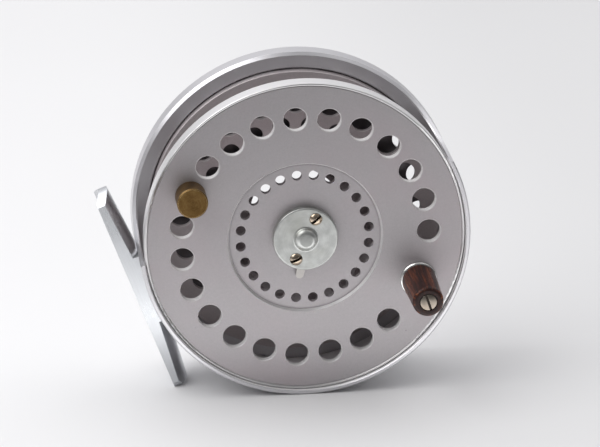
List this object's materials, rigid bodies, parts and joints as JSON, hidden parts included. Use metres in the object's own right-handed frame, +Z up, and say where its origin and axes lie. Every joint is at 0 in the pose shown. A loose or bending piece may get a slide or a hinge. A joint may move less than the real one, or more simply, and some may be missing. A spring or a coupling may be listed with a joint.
{
  "type": "fly reel",
  "caption": "Single-action fly reel: perforated drum with wooden handle, brass counterweight and latch in a half-cage frame with a winged foot and rear check regulator.",
  "frame": {"origin": "bottom centre of the reel's box as it stands on the frame rim and the lower tip of the foot", "axes": "+Z up, +Y along the drum axis from the face with the handle to the back plate, +X to the right of someone who faces the drum, away from the foot"},
  "size_m": [0.1136, 0.0588, 0.1016],
  "materials": {
    "frame_aluminium": "satin turned aluminium, fine circular machining marks",
    "drum_aluminium": "fine matt bead-blasted aluminium, slightly warm grey",
    "foot_metal": "bright satin, lengthways polishing marks",
    "cover_metal": "satin, lightly scratched",
    "steel": "turned steel",
    "spring_steel": "blued spring steel",
    "bronze": "oiled bronze",
    "knob_metal": "turned brass, knurled",
    "rivet_metal": "flush riveted ends",
    "nickel_screw": "worn nickel plate, warm",
    "ferrule_metal": "polished",
    "rosewood": "oiled dark red rosewood, lengthways grain",
    "brass": "aged brass, brown tarnish, bright worn edge"
  },
  "bodies": {
    "frame": {"frame": "frame_aluminium", "spindle": "steel", "spindle_rivets": "steel", "reel_foot": "foot_metal", "foot_rivets": "rivet_metal", "pawl_post": "steel", "spring_post": "steel", "check_spring": "spring_steel"},
    "drum": {"drum_face": "drum_aluminium", "drum_core": "drum_aluminium", "drum_rear_flange": "drum_aluminium", "drum_bush": "bronze", "ratchet_wheel": "steel", "ratchet_screws": "steel", "latch_cover": "cover_metal", "latch_cover_screws": "nickel_screw", "latch_spring": "spring_steel", "handle_spindle": "steel", "handle_ferrule": "ferrule_metal", "handle_screw": "nickel_screw", "counterweight": "brass", "counterweight_screw": "nickel_screw"},
    "grip": {"handle_grip": "rosewood"},
    "latch": {"latch_lever": "steel"},
    "pawl": {"check_pawl": "bronze"},
    "regulator": {"regulator_knob": "knob_metal", "regulator_cam": "bronze"}
  },
  "joints": [
    {"name": "drum_spin", "type": "hinge", "parent": "frame", "child": "drum", "pos_m": [0.006, 0.00688, 0.0508], "axis": [0, 1, 0], "continuous": true},
    {"name": "handle_spin", "type": "hinge", "parent": "drum", "child": "grip", "pos_m": [0.04098, -0.01912, 0.03595], "axis": [0, 1, 0], "continuous": true},
    {"name": "latch_swing", "type": "hinge", "parent": "drum", "child": "latch", "pos_m": [0.00907, -0.00792, 0.05709], "axis": [0, -1, 0], "range_deg": [0, 6], "stiffness_Nm_per_rad": 0.02, "springref_deg": -5.73},
    {"name": "pawl_lift", "type": "hinge", "parent": "frame", "child": "pawl", "pos_m": [0.016, 0.01978, 0.0292], "axis": [0, -1, 0], "range_deg": [0, 12], "stiffness_Nm_per_rad": 0.02, "springref_deg": -5.73},
    {"name": "regulator_turn", "type": "hinge", "parent": "frame", "child": "regulator", "pos_m": [0.003, 0.02587, 0.0209], "axis": [0, 1, 0], "range_deg": [0, 180]}
  ]
}
